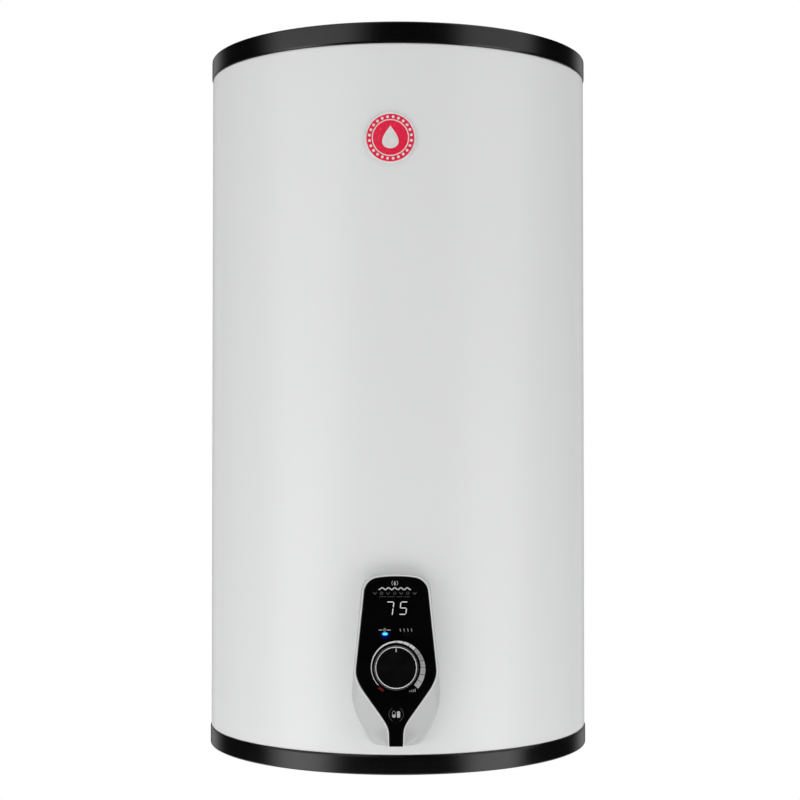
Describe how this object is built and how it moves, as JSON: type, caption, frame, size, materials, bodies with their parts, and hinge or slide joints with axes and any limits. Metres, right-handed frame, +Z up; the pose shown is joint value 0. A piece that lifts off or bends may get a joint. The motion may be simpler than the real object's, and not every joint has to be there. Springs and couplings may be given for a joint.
{
  "type": "wall-hung tank water heater",
  "caption": "Upright cylindrical electric storage water heater for a wall, with black end caps, a front control panel with knob and display, and wall brackets.",
  "frame": {"origin": "middle of the upper wall bracket's back face, on the wall; the casing's axis is 242 mm in front of it", "axes": "+Z up along the casing, +Y into the wall, so the control panel faces -Y; +X to the right of someone facing the panel"},
  "size_m": [0.45, 0.5081, 0.843],
  "materials": {
    "white_steel": "satin",
    "black_plastic": "satin",
    "white_plastic": "satin",
    "gloss_black": "gloss",
    "knob_black": "satin",
    "bright_ring": "polished",
    "badge_metal": "polished",
    "red_enamel": "gloss",
    "blue_lens": "gloss",
    "dark_lens": "gloss",
    "galvanised_steel": "satin",
    "plated_steel": "satin",
    "enamelled_steel": "satin",
    "foam": "matte",
    "black_rubber": "matte",
    "copper": "satin",
    "magnesium": "matte",
    "red_plastic": "satin",
    "blue_plastic": "satin",
    "beige_plastic": "matte",
    "green_board": "satin"
  },
  "bodies": {
    "root": {"outer_shell": "white_steel", "top_cap": "black_plastic", "bottom_cap": "black_plastic", "service_cover": "black_plastic", "cover_screw_1": "plated_steel", "cover_screw_2": "plated_steel", "cover_screw_3": "plated_steel", "cable_gland": "black_plastic", "tank_bottom_dome": "enamelled_steel", "tank_wall": "enamelled_steel", "tank_top_dome": "enamelled_steel", "insulation_foam": "foam", "cold_inlet_nipple": "plated_steel", "hot_outlet_nipple": "plated_steel", "cold_collar": "blue_plastic", "hot_collar": "red_plastic", "inlet_diffuser": "beige_plastic", "hot_dip_tube": "plated_steel", "flange_collar": "plated_steel", "flange_gasket": "black_rubber", "flange_plate": "plated_steel", "flange_bolt_1": "plated_steel", "flange_bolt_2": "plated_steel", "flange_bolt_3": "plated_steel", "flange_bolt_4": "plated_steel", "heating_element": "copper", "anode_rod": "magnesium", "anode_stud": "plated_steel", "sensor_pocket": "plated_steel", "temperature_probe": "plated_steel", "sensor_lead": "black_rubber", "cutout_body": "black_plastic", "live_lead": "red_plastic", "neutral_lead": "blue_plastic", "cutout_link": "red_plastic", "power_board": "green_board", "terminal_block": "beige_plastic", "upper_wall_bracket": "galvanised_steel", "lower_wall_bracket": "galvanised_steel", "upper_bracket_nut_1": "plated_steel", "upper_bracket_nut_2": "plated_steel", "lower_bracket_nut_1": "plated_steel", "lower_bracket_nut_2": "plated_steel", "panel_housing": "white_plastic", "panel_fascia": "gloss_black", "power_lamp": "blue_lens", "heating_lamp": "dark_lens", "display_board": "green_board", "display_module": "gloss_black", "rotary_encoder": "plated_steel", "mode_switch": "black_plastic", "knob_bezel": "bright_ring", "panel_harness": "black_rubber", "badge_plate": "badge_metal", "badge_enamel": "red_enamel"},
    "knob": {"knob_cap": "knob_black", "knob_ring": "bright_ring", "knob_spindle": "plated_steel"},
    "mode_button": {"mode_button": "gloss_black"},
    "cutout_reset": {"cutout_reset_button": "red_plastic"}
  },
  "joints": [
    {"name": "knob_turn", "type": "hinge", "parent": "root", "child": "knob", "pos_m": [-0.0025, -0.493, -0.5461], "axis": [0, 0.9903, -0.1392], "range_deg": [-144, 132]},
    {"name": "mode_button_press", "type": "slide", "parent": "root", "child": "mode_button", "axis": [0, 0.9903, -0.1392], "range_m": [0, 0.0008], "stiffness_N_per_m": 600, "springref_m": -0.001},
    {"name": "cutout_reset_press", "type": "slide", "parent": "root", "child": "cutout_reset", "axis": [0, 0, 1], "range_m": [0, 0.0015], "stiffness_N_per_m": 800, "springref_m": -0.002}
  ]
}
